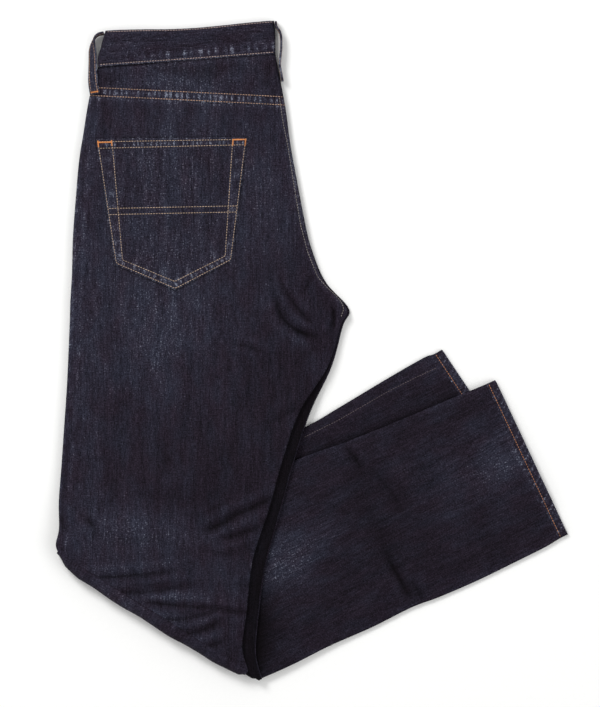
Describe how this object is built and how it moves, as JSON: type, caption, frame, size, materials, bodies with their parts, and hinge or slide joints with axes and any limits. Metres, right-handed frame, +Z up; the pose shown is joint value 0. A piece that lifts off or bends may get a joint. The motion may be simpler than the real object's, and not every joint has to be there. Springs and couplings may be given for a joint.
{
  "type": "slim jeans, folded flat",
  "caption": "Dark indigo slim five-pocket jeans, folded in half and laid flat with both lower legs folded under at the knee.",
  "frame": {"origin": "on the surface the jeans lie on, below the middle of their outline", "axes": "+Y along the thigh towards the waistband, +X towards the hems, +Z up from the surface"},
  "size_m": [0.5906, 0.7591, 0.0224],
  "materials": {
    "denim": "dark indigo cotton twill, faded at the seat, the knees and along its edges",
    "denim_reverse": "pale reverse of the indigo twill",
    "topstitch_thread": "thick golden brown polyester-cotton topstitch thread"
  },
  "bodies": {
    "root": {"back_panel_left": "denim", "back_panel_right": "denim", "front_panel_left": "denim", "folded_fronts": "denim", "yoke_left": "denim", "yoke_right": "denim", "waistband": "denim", "back_pocket_left": "denim", "back_pocket_right": "denim", "belt_loop_side_left": "denim", "belt_loop_side_right": "denim", "belt_loop_centre_back": "denim", "hem_right_leg": "denim", "hem_left_leg": "denim"}
  },
  "joints": []
}
